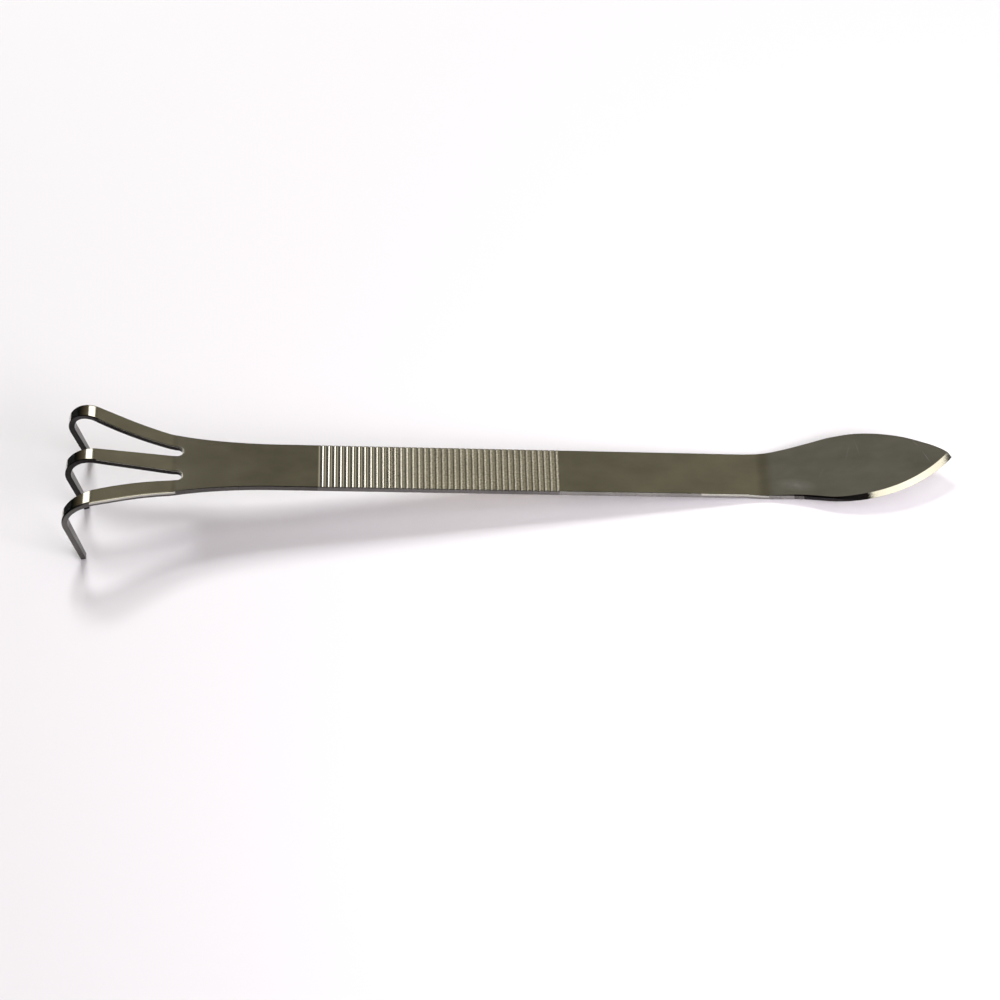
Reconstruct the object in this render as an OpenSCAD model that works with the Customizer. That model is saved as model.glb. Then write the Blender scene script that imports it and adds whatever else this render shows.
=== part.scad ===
// Three-tined hand rake with a leaf-shaped spatula at its other end, cut from one
// strip of stainless sheet and folded to shape. Nothing on it comes apart or moves.
// The nodes are the formed stretches of that one blank, and they meet face to face.
//
// X runs along the tool from the tines to the spatula's tip, Y across it and Z up.
// The tool lies as it rests on a table, on its three tine tips and on the underside
// of the spatula's neck, and the origin is under the middle of it, on the table.

/* [Sheet] */
// Thickness of the steel sheet
sheet_t = 1.5; // [1.2:0.1:2]

/* [Tines] */
// Length of a tine from its root fold to the start of its hook
tine_l = 19; // [16:0.5:24]
// Angle by which the tines rise from the plane of the shank
tine_rise = 9; // [5:0.5:13]
// Outer radius of each hook
hook_r = 6.8; // [5:0.1:8]
// Angle by which the legs lean back under the tool
leg_lean = 18; // [8:1:28]
// Straight length of a leg below its hook
leg_l = 12.5; // [9:0.1:16]
// Width of a leg below its hook
leg_top_w = 2.8; // [2.2:0.1:3.6]
// Width of a leg at its tip
leg_tip_w = 1.8; // [1.4:0.1:2.2]
// Distance from the middle of the tool to an outer leg, below its hook
leg_top_y = 15.7; // [14.5:0.1:17]
// Distance from the middle of the tool to an outer leg's tip
leg_tip_y = 16.2; // [15:0.1:18]
// Width of the middle tine at its root
middle_root_w = 5; // [4:0.1:5.6]
// Width of the middle tine at its hook
middle_hook_w = 3.8; // [3.2:0.1:4.4]

/* [Palm] */
// Radius of the fold at the root of each tine, at the middle of the sheet
root_fold_r = 13.5; // [10:0.5:20]
// Radius of the round end of each gap between two tines
gap_end_r = 1.4; // [1:0.1:1.6]
// Slope of a gap's outer edge where it leaves the round end
gap_end_slope = 10; // [5:1:15]
// Radius of the inner edge of an outer tine
gap_side_r = 85; // [75:1:100]
// Distance from the root fold to where the palm begins to widen
flare_x = 26; // [22:1:30]
// Radius of each side of the palm, next to the shank
palm_side_r = 150; // [120:5:200]
// Length of that curve along the tool
palm_side_l = 16; // [12:1:18]
// Radius of the outer edge from there into the outer tine
tine_side_r = 90; // [80:1:110]
// Length of that curve along the tool
tine_side_l = 22; // [16:1:24]

/* [Grip] */
// Distance from the root fold to the ribbed grip
grip_x = 36; // [30:0.1:42]
// Number of grooves
groove_count = 40; // [20:1:40]
// Distance from one groove to the next
groove_pitch = 1.5; // [1.2:0.1:1.5]
// Radius of a groove's round bottom
groove_r = 0.5; // [0.4:0.05:0.55]
// Depth of a groove
groove_depth = 0.35; // [0.2:0.05:0.4]

/* [Shank] */
// Width of the shank at the palm
shank_front_w = 13.9; // [13:0.1:15]
// Width of the shank at the spatula
shank_rear_w = 13.3; // [12:0.1:14]
// Distance from the root fold to the middle of the spatula's fold
neck_x = 147.9; // [138:0.1:155]

/* [Spatula] */
// Angle by which the spatula rises from the plane of the shank
blade_rise = 12.5; // [6:0.1:16]
// Radius of the fold at the neck, at the middle of the sheet
neck_fold_r = 25; // [15:1:35]
// Length from the middle of the fold to the tip
blade_l = 46.2; // [43:0.1:50]
// Distance from the middle of the fold to the widest place
blade_wide_x = 22; // [20:0.1:24]
// Largest width
blade_w = 20.6; // [19:0.1:22]
// Radius of the hollow sides between the shank and the leaf
blade_neck_r = 90; // [60:1:110]
// Distance from the middle of the fold to where the ground bevel begins
bevel_x = 11; // [9:0.5:14]
// Width of the bevel at the widest place, seen from above
bevel_wide_w = 0.35; // [0.2:0.05:0.5]
// Width of the bevel at the tip, seen from above
bevel_tip_w = 0.8; // [0.6:0.05:1]
// Slope of the bevel
bevel_slope = 50; // [40:1:52]

/* [Hidden] */
steel = [0.42, 0.41, 0.37];
round_fn = 180;
groove_fn = 32;
curve_steps = 16;
fold_steps = 24;
past = 1;
neck_lead = 2;

// The strip frame has X along the shank and z = 0 at the middle of the sheet. The
// planes of the shank and of the tines cross at x = 0.
hook_mid_r = hook_r - sheet_t / 2;
hook_start_x = -tine_l * cos(tine_rise);
hook_x = hook_start_x - hook_mid_r * sin(tine_rise);
hook_z = tine_l * sin(tine_rise) - hook_mid_r * cos(tine_rise);
hook_run = hook_start_x - hook_x + hook_r;
leg_drop = leg_l * cos(leg_lean) + hook_r * sin(leg_lean);
root_cut = root_fold_r * tan(tine_rise / 2);
neck_cut = neck_fold_r * tan(blade_rise / 2);
grip_end_x = grip_x + groove_count * groove_pitch;
neck_start_x = neck_x - neck_cut - neck_lead;
sheet_w = 2 * leg_tip_y + 2 * leg_top_w;

// Half the width of the shank at x
function shank_y(x) =
    shank_front_w / 2 - (shank_front_w - shank_rear_w) / 2 * (x - flare_x) / (neck_x - flare_x);

// An edge runs towards the hooks from [x, y, slope angle], and curves away from the
// middle of the tool. arc_on gives where it has got to after a run along X.
function arc_on(from, r, run) =
    let (slope = asin(sin(from[2]) + run / r))
    [from[0] - run, from[1] + r * (cos(from[2]) - cos(slope)), slope];
function arc_points(from, r, run) = [
    for (i = [1:curve_steps])
        let (p = arc_on(from, r, run * i / curve_steps))
        [p[0], p[1]]
];
// Over the hook's run an edge closes on the edge of the leg
function closing_points(from, to_y) =
    let (rise = hook_run * tan(from[2]), rest = to_y - from[1] - rise)
    [
        for (i = [0:curve_steps])
            let (k = i / curve_steps)
            [from[0] - hook_run * k, from[1] + rise * k + rest * k * k]
    ];
function reversed(list) = [for (i = [len(list) - 1:-1:0]) list[i]];
function mirrored(list) = [for (p = reversed(list)) [p[0], -p[1]]];

// Outer edge of the palm and of an outer tine
palm_from = [flare_x, shank_y(flare_x), 0];
palm_to = arc_on(palm_from, palm_side_r, palm_side_l);
side_to = arc_on(palm_to, tine_side_r, tine_side_l);
side_run = side_to[0] - hook_start_x;
hook_from = [hook_start_x, side_to[1] + side_run * tan(side_to[2]), side_to[2]];
outer_edge = concat(
    [[flare_x, palm_from[1]]],
    arc_points(palm_from, palm_side_r, palm_side_l),
    arc_points(palm_to, tine_side_r, tine_side_l),
    closing_points(hook_from, leg_top_y + leg_top_w / 2)
);

// Inner edge of an outer tine, from the round end of the gap
gap_y = middle_root_w / 2 + gap_end_r;
gap_from = [root_cut, gap_y + gap_end_r, gap_end_slope];
gap_run = root_cut - hook_start_x;
inner_edge = concat(
    [[root_cut, gap_from[1]]],
    arc_points(gap_from, gap_side_r, gap_run),
    closing_points(arc_on(gap_from, gap_side_r, gap_run), leg_top_y - leg_top_w / 2)
);

// The spatula's outline lies in its own plane, with x = 0 at the middle of the fold.
// The leaf is two arcs that meet at the tip, and hollow arcs lead into the shank.
leaf_run = blade_l - blade_wide_x;
leaf_r = (leaf_run * leaf_run + blade_w * blade_w / 4) / blade_w;
leaf_y = leaf_r - blade_w / 2;
hollow_y = shank_rear_w / 2 + blade_neck_r;
hollow_run = sqrt(pow(leaf_r + blade_neck_r, 2) - pow(hollow_y + leaf_y, 2));
hollow_x = blade_wide_x - hollow_run;
join_x = blade_wide_x - hollow_run * leaf_r / (leaf_r + blade_neck_r);
function neck_y(x) = hollow_y - sqrt(pow(blade_neck_r, 2) - pow(max(x - hollow_x, 0), 2));

// The bevel on each side is part of a cone. Its rim on the top face is an arc shifted
// from the leaf's own arc so that the bevel grows from nothing to its width at the tip.
start_out = [(bevel_x - blade_wide_x) / leaf_r, sqrt(1 - pow((bevel_x - blade_wide_x) / leaf_r, 2))];
tip_out = [leaf_run / leaf_r, leaf_y / leaf_r];
bevel_gain = bevel_tip_w - bevel_wide_w;
bevel_det = start_out[0] * (1 - tip_out[1]) - tip_out[0] * (1 - start_out[1]);
bevel_dx = ((1 - start_out[1]) * bevel_gain + (1 - tip_out[1]) * bevel_wide_w) / bevel_det;
bevel_dy = (tip_out[0] * bevel_wide_w + start_out[0] * bevel_gain) / bevel_det;
bevel_r = leaf_r - bevel_wide_w - bevel_dy;

// At rest the line from the outer corners of the tips that just touches the round
// underside of the neck's fold is level
tip_x = hook_x - hook_r * cos(leg_lean) + leg_l * sin(leg_lean);
tip_z = hook_z - hook_r * sin(leg_lean) - leg_l * cos(leg_lean);
fold_dx = neck_x - neck_cut - tip_x;
fold_dz = neck_fold_r - tip_z;
rest_lean = atan2(fold_dz, fold_dx) - asin((neck_fold_r + sheet_t / 2) / norm([fold_dx, fold_dz]));
function rest_x(x, z) = x * cos(rest_lean) + z * sin(rest_lean);
function rest_z(x, z) = z * cos(rest_lean) - x * sin(rest_lean);
low_x = rest_x(hook_x, hook_z) - hook_r;
high_x = rest_x(
    neck_x + blade_l * cos(blade_rise) + sheet_t / 2 * sin(blade_rise),
    blade_l * sin(blade_rise) - sheet_t / 2 * cos(blade_rise)
);

module at_rest() {
    translate([-(low_x + high_x) / 2, 0, -rest_z(tip_x, tip_z)])
        rotate([0, rest_lean, 0])
            children();
}

// Points in XZ round a centre, from one angle to another. Angles go from +X up to +Z.
function arc_xz(centre, r, from, to) = [
    for (i = [0:fold_steps])
        let (a = from + (to - from) * i / fold_steps)
        [centre[0] + r * cos(a), centre[1] + r * sin(a)]
];
// A point on the sheet's face, at a place x along a plane that rises at an angle
function on_face(x, z, rise) = [x * cos(rise) - z * sin(rise), x * sin(rise) + z * cos(rise)];

// Folded sheet from its side view, wider than the tool
module sheet(points) {
    rotate([90, 0, 0])
        linear_extrude(height = sheet_w, center = true)
            polygon(points);
}

// Upright walls round an outline, for cutting a node out of the folded sheet
module outline(points) {
    translate([0, 0, -sheet_w])
        linear_extrude(height = 2 * sheet_w)
            polygon(points);
}

// Seen from the end of the tool, a leg narrows evenly from its hook to its tip. The
// walls run on past the tip, and nothing is cut above the middle of the hook.
module leg_front(top_y, tip_y) {
    drop = leg_drop + past;
    y = top_y + (tip_y - top_y) * drop / leg_drop;
    w = leg_top_w + (leg_tip_w - leg_top_w) * drop / leg_drop;
    rotate([90, 0, 90])
        translate([0, hook_z, -2 * tine_l])
            linear_extrude(height = 2 * tine_l)
                polygon([
                    [top_y - leg_top_w / 2, 0],
                    [y - w / 2, -drop],
                    [y + w / 2, -drop],
                    [top_y + leg_top_w / 2, 0],
                    [sheet_w, 0],
                    [sheet_w, sheet_w],
                    [-sheet_w, sheet_w],
                    [-sheet_w, 0]
                ]);
}

// The folded sheet that the tines are cut from: root fold, flat, hook and leg
module tine_sheet() {
    root = [root_cut, root_fold_r];
    root_to = 270 - tine_rise;
    hook = [hook_x, hook_z];
    hook_from = 90 - tine_rise;
    hook_to = 180 + leg_lean;
    leg = [leg_l * sin(leg_lean), -leg_l * cos(leg_lean)];
    above = arc_xz(hook, hook_r, hook_from, hook_to);
    below = arc_xz(hook, hook_r - sheet_t, hook_from, hook_to);
    sheet(concat(
        arc_xz(root, root_fold_r - sheet_t / 2, 270, root_to),
        above,
        [above[fold_steps] + leg, below[fold_steps] + leg],
        reversed(below),
        arc_xz(root, root_fold_r + sheet_t / 2, root_to, 270)
    ));
}

// The outer tine on the +Y side
module outer_tine() {
    intersection() {
        tine_sheet();
        outline(concat(outer_edge, reversed(inner_edge)));
        leg_front(leg_top_y, leg_tip_y);
    }
}

module left_tine() {
    color(steel)
        at_rest()
            outer_tine();
}

module right_tine() {
    color(steel)
        at_rest()
            mirror([0, 1, 0])
                outer_tine();
}

module middle_tine() {
    edge = [
        [root_cut + past, middle_root_w / 2],
        [root_cut, middle_root_w / 2],
        [hook_start_x, middle_hook_w / 2],
        [hook_start_x - hook_run, leg_top_w / 2]
    ];
    color(steel)
        at_rest()
            intersection() {
                tine_sheet();
                outline(concat(edge, mirrored(edge)));
                leg_front(0, 0);
            }
}

module rake_palm() {
    edge = concat([[grip_x, shank_y(grip_x)]], outer_edge);
    color(steel)
        at_rest()
            difference() {
                intersection() {
                    translate([root_cut, -sheet_w / 2, -sheet_t / 2])
                        cube([grip_x - root_cut, sheet_w, sheet_t]);
                    outline(concat(edge, mirrored(edge)));
                }
                for (side = [-1, 1])
                    translate([root_cut, side * gap_y, -sheet_t])
                        cylinder(r = gap_end_r, h = 2 * sheet_t, $fn = round_fn);
            }
}

// Straight shank between two places along X
module shank_piece(from_x, to_x) {
    edge = [[from_x, shank_y(from_x)], [to_x, shank_y(to_x)]];
    translate([0, 0, -sheet_t / 2])
        linear_extrude(height = sheet_t)
            polygon(concat(edge, mirrored(edge)));
}

module ribbed_grip() {
    color(steel)
        at_rest()
            difference() {
                shank_piece(grip_x, grip_end_x);
                for (i = [0:groove_count - 1])
                    translate([
                        grip_x + groove_pitch * (i + 0.5),
                        0,
                        sheet_t / 2 - groove_depth + groove_r
                    ])
                        rotate([90, 0, 0])
                            cylinder(r = groove_r, h = sheet_w, center = true, $fn = groove_fn);
            }
}

module plain_shank() {
    color(steel)
        at_rest()
            shank_piece(grip_end_x, neck_start_x);
}

// A short straight, the fold and the hollow sides, up to where the leaf begins
module spatula_neck() {
    start = neck_start_x - neck_x;
    end = join_x * cos(blade_rise) + sheet_t;
    fold = [-neck_cut, neck_fold_r];
    edge = concat(
        [[start - past, shank_y(neck_start_x)], [start, shank_y(neck_start_x)]],
        [
            for (i = [1:curve_steps])
                let (x = start + (end - start) * i / curve_steps)
                [x, neck_y(x > 0 ? x / cos(blade_rise) : x)]
        ]
    );
    color(steel)
        at_rest()
            translate([neck_x, 0, 0])
                intersection() {
                    sheet(concat(
                        [[start, sheet_t / 2]],
                        arc_xz(fold, neck_fold_r - sheet_t / 2, 270, 270 + blade_rise),
                        [on_face(join_x, sheet_t / 2, blade_rise)],
                        [on_face(join_x, -sheet_t / 2, blade_rise)],
                        arc_xz(fold, neck_fold_r + sheet_t / 2, 270 + blade_rise, 270),
                        [[start, -sheet_t / 2]]
                    ));
                    outline(concat(edge, mirrored(edge)));
                }
}

// A round plate whose rim makes one side of the leaf, and the cone of its bevel
module leaf_side() {
    translate([blade_wide_x, -leaf_y, -sheet_t / 2])
        intersection() {
            cylinder(r = leaf_r, h = sheet_t, $fn = 4 * round_fn);
            translate([bevel_dx, bevel_dy, 0])
                cylinder(
                    r1 = bevel_r + sheet_t / tan(bevel_slope),
                    r2 = bevel_r,
                    h = sheet_t,
                    $fn = 4 * round_fn
                );
        }
}

module spatula_blade() {
    color(steel)
        at_rest()
            translate([neck_x, 0, 0])
                rotate([0, -blade_rise, 0])
                    intersection() {
                        leaf_side();
                        mirror([0, 1, 0])
                            leaf_side();
                        translate([join_x, -sheet_w / 2, -sheet_t / 2])
                            cube([blade_l, sheet_w, sheet_t]);
                    }
}

left_tine();
middle_tine();
right_tine();
rake_palm();
ribbed_grip();
plain_shank();
spatula_neck();
spatula_blade();
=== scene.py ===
import math

import bpy
import numpy as np
from mathutils import Matrix, Vector


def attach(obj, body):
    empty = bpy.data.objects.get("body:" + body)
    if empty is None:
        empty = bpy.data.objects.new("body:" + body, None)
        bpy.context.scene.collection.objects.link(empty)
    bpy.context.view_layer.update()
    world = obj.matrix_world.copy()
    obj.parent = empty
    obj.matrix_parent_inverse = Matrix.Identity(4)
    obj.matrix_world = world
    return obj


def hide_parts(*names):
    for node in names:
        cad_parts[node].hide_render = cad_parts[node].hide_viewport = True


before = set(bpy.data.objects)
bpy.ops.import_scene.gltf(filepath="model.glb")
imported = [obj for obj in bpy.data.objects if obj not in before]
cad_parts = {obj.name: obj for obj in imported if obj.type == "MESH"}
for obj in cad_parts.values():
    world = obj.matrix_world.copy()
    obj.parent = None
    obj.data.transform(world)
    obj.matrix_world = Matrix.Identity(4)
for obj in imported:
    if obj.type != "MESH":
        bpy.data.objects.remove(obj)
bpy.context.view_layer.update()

MM = 0.001

# ---------------------------------------------------------------- sizes, in mm
# the driving sizes of the CAD part; x runs from the roots of the tines to the leaf
SHEET_T = 1.5
TINE_L, TINE_RISE = 19.0, math.radians(9.0)
HOOK_R, LEG_LEAN, LEG_L = 6.8, math.radians(18.0), 12.5
LEG_TOP_W, LEG_TIP_W, LEG_TOP_Y, LEG_TIP_Y = 2.8, 1.8, 15.7, 16.2
MIDDLE_ROOT_W, MIDDLE_HOOK_W = 5.0, 3.8
ROOT_FOLD_R, GAP_END_R, GAP_END_SLOPE, GAP_SIDE_R = 13.5, 1.4, math.radians(10.0), 85.0
FLARE_X, PALM_SIDE_R, PALM_SIDE_L, TINE_SIDE_R, TINE_SIDE_L = 26.0, 150.0, 16.0, 90.0, 22.0
GRIP_X, GROOVES, PITCH, GROOVE_DEPTH = 36.0, 40, 1.5, 0.35
SHANK_FRONT_W, SHANK_REAR_W, NECK_X = 13.9, 13.3, 147.9
BLADE_RISE, NECK_FOLD_R, NECK_LEAD = math.radians(12.5), 25.0, 2.0
BLADE_L, BLADE_WIDE_X, BLADE_W, BLADE_NECK_R = 46.2, 22.0, 20.6, 90.0

# the finer shape that only the visual model has
HALF_T = SHEET_T / 2
EDGE_R, TINE_EDGE_R, GAP_EDGE_R = 0.28, 0.42, 0.18
UNDER_R, LEAF_UNDER_R, SMALLEST_R = 0.2, 0.05, 0.04
TIP_R, TIP_STEPS = 0.3, 4
GROOVE_HALF, CROWN_R, CROWN_DROP = 0.11, 1.05, 0.2
PALM_GRID_END = 6.0
FILLET, LEAST_WALL = 0.03, 0.03
NEAR_EXTRA, NEAR_FROM, NEAR_RUN = 0.92, 8.0, 34.0
NOSE_R, NOSE_END, NOSE_CUT, NOSE_SLOPE_STOP = 0.7, BLADE_L + 0.35, 0.02, 0.12
# the leaf's rims: what they start with, then (what is added, from, to) along the leaf
NEAR_RIM_W = (0.12, (0.18, 0, 8), (0.42, 16, 24), (0.25, 20, 32), (0.2, 30, 42))
FAR_RIM_W = (0.15, (0.3, 9, 19), (0.32, 20, 32), (-0.5, 38, 45))
RIM_DEPTH = (0.2, (0.15, 1, 12), (1.04, 16, 24))
# how much of the leaf's width its two bevels take at most, and a round edge of half of it
RIMS_SHARE, ROUND_SHARE = 0.97, 0.3

# where the near rim switches between pale steel, a painted highlight, and dark steel, painted shade,
# along the strip and then along the leaf, at a tine's root and hook, and round the end of a gap, as a
# share of the way
SHINE_FROM = 130.0
SHINE_TO, DULL_FROM, DARK_FROM, GROUND_FROM = 0.5, 7.0, 9.0, 25.0
TINE_SHINE_PAST_FOLD, TINE_INSIDE_RUN = 0.8, 6.0
GAP_SHINE_FROM, GAP_SHINE_TO = 0.1, 0.66

# steps round an edge, across each piece and along the blade
ARC = 6
PALM_STEPS, GAP_STEPS, OUTER_STEPS, MIDDLE_STEPS = 10, 20, 6, 6
# the columns across the palm at which the gaps and the middle and far tines begin
NEAR_GAP, MIDDLE_TINE = OUTER_STEPS, OUTER_STEPS + GAP_STEPS
FAR_GAP, FAR_TINE = MIDDLE_TINE + MIDDLE_STEPS, MIDDLE_TINE + MIDDLE_STEPS + GAP_STEPS
ACROSS = FAR_TINE + OUTER_STEPS
STRIP_ACROSS, LEAF_ACROSS, TINE_ACROSS = 8, 10, 6
BLADE_STATIONS, BLADE_CROWDING = 70, 1.6

# one unit of the texture coordinates in mm, and a length too small to matter
UV_MM, TINY = 100.0, 1e-9

# ------------------------------------------------------------- derived lengths
hook_mid_r = HOOK_R - HALF_T
root_cut = ROOT_FOLD_R * math.tan(TINE_RISE / 2)
neck_cut = NECK_FOLD_R * math.tan(BLADE_RISE / 2)
hook_start_x = -TINE_L * math.cos(TINE_RISE)
hook_x = hook_start_x - hook_mid_r * math.sin(TINE_RISE)
hook_z = TINE_L * math.sin(TINE_RISE) - hook_mid_r * math.cos(TINE_RISE)
hook_run = hook_start_x - hook_x + HOOK_R
leg_drop = LEG_L * math.cos(LEG_LEAN) + HOOK_R * math.sin(LEG_LEAN)
grip_end_x = GRIP_X + GROOVES * PITCH
neck_start_x = NECK_X - neck_cut - NECK_LEAD
tip_x = hook_x - HOOK_R * math.cos(LEG_LEAN) + LEG_L * math.sin(LEG_LEAN)
tip_z = hook_z - HOOK_R * math.sin(LEG_LEAN) - LEG_L * math.cos(LEG_LEAN)
fold_dx, fold_dz = NECK_X - neck_cut - tip_x, NECK_FOLD_R - tip_z
rest_lean = math.atan2(fold_dz, fold_dx) - math.asin(
    (NECK_FOLD_R + HALF_T) / math.hypot(fold_dx, fold_dz)
)
low_x = hook_x * math.cos(rest_lean) + hook_z * math.sin(rest_lean) - HOOK_R
end_x = NECK_X + BLADE_L * math.cos(BLADE_RISE) + HALF_T * math.sin(BLADE_RISE)
end_z = BLADE_L * math.sin(BLADE_RISE) - HALF_T * math.cos(BLADE_RISE)
high_x = end_x * math.cos(rest_lean) + end_z * math.sin(rest_lean)
base_z = tip_z * math.cos(rest_lean) - tip_x * math.sin(rest_lean)

leaf_run = BLADE_L - BLADE_WIDE_X
leaf_r = (leaf_run**2 + BLADE_W**2 / 4) / BLADE_W
leaf_y = leaf_r - BLADE_W / 2
hollow_y = SHANK_REAR_W / 2 + BLADE_NECK_R
hollow_run = math.sqrt((leaf_r + BLADE_NECK_R) ** 2 - (hollow_y + leaf_y) ** 2)
hollow_x = BLADE_WIDE_X - hollow_run
join_x = BLADE_WIDE_X - hollow_run * leaf_r / (leaf_r + BLADE_NECK_R)


# ------------------------------------------------------------------- outlines
def shank_y(x):
    return SHANK_FRONT_W / 2 - (SHANK_FRONT_W - SHANK_REAR_W) / 2 * (x - FLARE_X) / (
        NECK_X - FLARE_X
    )


def along_arc(start, radius, run):
    """An edge that heads for the hooks from (x, y, slope) and curves outwards."""
    sine = math.sin(start[2]) + run / radius
    slope = math.asin(sine)
    return (
        start[0] - run,
        start[1] + radius * (math.cos(start[2]) - math.cos(slope)),
        slope,
    )


palm_from = (FLARE_X, shank_y(FLARE_X), 0.0)
palm_to = along_arc(palm_from, PALM_SIDE_R, PALM_SIDE_L)
side_to = along_arc(palm_to, TINE_SIDE_R, TINE_SIDE_L)
GAP_Y = MIDDLE_ROOT_W / 2 + GAP_END_R
gap_from = (root_cut, GAP_Y + GAP_END_R, GAP_END_SLOPE)
gap_to = along_arc(gap_from, GAP_SIDE_R, root_cut - hook_start_x)


def outer_y(x):
    """Half width of the palm and outer tines, and its slope towards the hooks."""
    if x >= FLARE_X:
        return shank_y(x)
    if x >= palm_to[0]:
        return along_arc(palm_from, PALM_SIDE_R, FLARE_X - x)[1]
    if x >= side_to[0]:
        return along_arc(palm_to, TINE_SIDE_R, palm_to[0] - x)[1]
    return side_to[1] + (side_to[0] - x) * math.tan(side_to[2])


def inner_y(x):
    return along_arc(gap_from, GAP_SIDE_R, root_cut - x)[1]


def middle_y(x):
    k = (root_cut - x) / (root_cut - hook_start_x)
    return (MIDDLE_ROOT_W + (MIDDLE_HOOK_W - MIDDLE_ROOT_W) * k) / 2


def neck_y(x):
    return hollow_y - math.sqrt(BLADE_NECK_R**2 - max(x - hollow_x, 0) ** 2)


def leaf_half(u):
    """Half the width of the CAD leaf, at u along it."""
    return math.sqrt(max(leaf_r**2 - (u - BLADE_WIDE_X) ** 2, 0)) - leaf_y


def near_extra(u):
    """The leaf is a little wider on its near side, more so towards the point."""
    return NEAR_EXTRA * min(max((u - NEAR_FROM) / NEAR_RUN, 0.0), 1.0)


def leaf_sides(u):
    """y of the near and far edges of the leaf, with a round nose at its end."""
    near, far = -leaf_half(u) - near_extra(u), leaf_half(u)
    t = min(max((u - NOSE_END + NOSE_R) / NOSE_R, 0.0), 1.0)
    middle, room = (near + far) / 2, (far - near) / 2 * math.sqrt(1 - t * t)
    return middle - room, middle + room


# --------------------------------------------------------------- folded paths
class Path:
    """The sheet's middle line in XZ: straights and bends, walked from one end.
    dx is +1 or -1, the way along X that it starts in."""

    def __init__(self, x, z, rise, dx, parts):
        self.dx = dx
        self.knots = [(0.0, x, z, rise, 0.0)]
        for length, turn in parts:
            s, px, pz, angle, _ = self.knots[-1]
            self.knots[-1] = (s, px, pz, angle, turn / length)
            nx, nz, na = self._go(px, pz, angle, turn / length, length)
            self.knots.append((s + length, nx, nz, na, 0.0))
        self.length = self.knots[-1][0]

    def _go(self, x, z, angle, curvature, run):
        if curvature == 0:
            return (
                x + self.dx * run * math.cos(angle),
                z + run * math.sin(angle),
                angle,
            )
        end = angle + curvature * run
        return (
            x + self.dx * (math.sin(end) - math.sin(angle)) / curvature,
            z - (math.cos(end) - math.cos(angle)) / curvature,
            end,
        )

    def at(self, s):
        """(point, direction, up) at the length s."""
        knot = self.knots[0]
        for k in self.knots[:-1]:
            if s >= k[0] - TINY:
                knot = k
        x, z, a = self._go(knot[1], knot[2], knot[3], knot[4], s - knot[0])
        direction = np.array([self.dx * math.cos(a), 0, math.sin(a)])
        up = np.array([-self.dx * math.sin(a), 0, math.cos(a)])
        return np.array([x, 0, z]), direction, up


# ------------------------------------------------------------- cross-sections
def round_edge(radius):
    """(inset, depth, outwards, upwards) from the wall to the top face."""
    out = []
    for i in range(ARC + 1):
        a = math.pi / 2 * i / ARC
        out.append(
            (
                radius * (1 - math.cos(a)),
                radius * (1 - math.sin(a)),
                math.cos(a),
                math.sin(a),
            )
        )
    return out


def bevel_edge(width, depth, fillet):
    """The same for a flat bevel with a small fillet at its two corners."""
    run = math.hypot(width, depth)
    c, s = width / run, depth / run
    f = min(fillet, run * 0.3)
    low_half, top_half = math.hypot(1 + s, c), math.hypot(s, 1 + c)
    return [
        (0.0, depth + f, 1.0, 0.0),
        (f * c * 0.25, depth + f * (1 - s) * 0.25, (1 + s) / low_half, c / low_half),
        (f * c, depth - f * s, s, c),
        (width / 2, depth / 2, s, c),
        (width - f * c, f * s, s, c),
        (width + f * (1 - c) * 0.25, f * s * 0.25, s / top_half, (1 + c) / top_half),
        (width + f, 0.0, 0.0, 1.0),
    ]


def mixed_edge(a, b, k):
    """The profile a at k = 0, turning into the profile b at k = 1."""
    out = []
    for p, q in zip(a, b):
        m = [x * (1 - k) + y * k for x, y in zip(p, q)]
        n = math.hypot(m[2], m[3])
        out.append((m[0], m[1], m[2] / n, m[3] / n))
    return out


# the kinds of face, in the order of a piece's materials
# the pale rim kind is a painted highlight where it is switched on, and the near-black and dim kinds
# are painted shade and painted dark reflection
FACE, EDGE, RIM, PAINTED_DARK, PAINTED_DIM = 0, 1, 2, 3, 4


def section(
    y0,
    y1,
    slope0,
    slope1,
    edge,
    under,
    across,
    half_t=HALF_T,
    top=None,
    top_n=None,
    edge1=None,
):
    """Points round one cross-section, from the middle of the y0 wall over the top to
    the middle of the y1 wall and back underneath. Each is (y, z, n_along, n_y, n_z).
    slope0 and slope1 are how fast y0 and y1 change along the path. top, if given, is
    a lower top face, and top_n its normal (along, up). edge is the profile of the upper
    edge, on the y0 side only where edge1 is given for the y1 side."""
    k0, k1 = math.hypot(1, slope0), math.hypot(1, slope1)
    upper, lower = [], []

    def side(y, sign, k, slope, profile, flip):
        rows = []
        for inset, depth, out, up in profile:
            along = -sign * slope / k * out
            rows.append(
                (y - sign * inset * k, flip * (half_t - depth), along, sign * out / k, flip * up)
            )
        return rows

    def wall_z(profile):
        """Where the wall's upper and lower faces meet, below the upper edge's profile."""
        top_z, bottom_z = half_t - profile[0][1], under[0][1] - half_t
        return 0.0 if top_z > LEAST_WALL else (top_z + bottom_z) / 2

    for chain, first, second, flip in ((upper, edge, edge1 or edge, 1), (lower, under, under, -1)):
        a = side(y0, -1, k0, slope0, first, flip)
        b = side(y1, 1, k1, slope1, second, flip)
        wall0 = (y0, wall_z(edge), slope0 / k0, -1 / k0, 0.0)
        wall1 = (y1, wall_z(edge1 or edge), -slope1 / k1, 1 / k1, 0.0)
        chain.append(wall0)
        chain.extend(a)
        for j in range(1, across):
            f = j / across
            chain.append((a[-1][0] * (1 - f) + b[-1][0] * f, flip * half_t, 0.0, 0.0, float(flip)))
        chain.extend(reversed(b))
        chain.append(wall1)
    if top is not None:
        cut = []
        for p in upper:
            faces_up = p[4] > 0.2
            if p[1] > top and faces_up:
                cut.append((p[0], top, top_n[0], 0.0, top_n[1]))
            else:
                cut.append((p[0], min(p[1], top), p[2], p[3], p[4]))
        upper = cut
    return upper + lower[-2:0:-1], len(upper)


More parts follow.
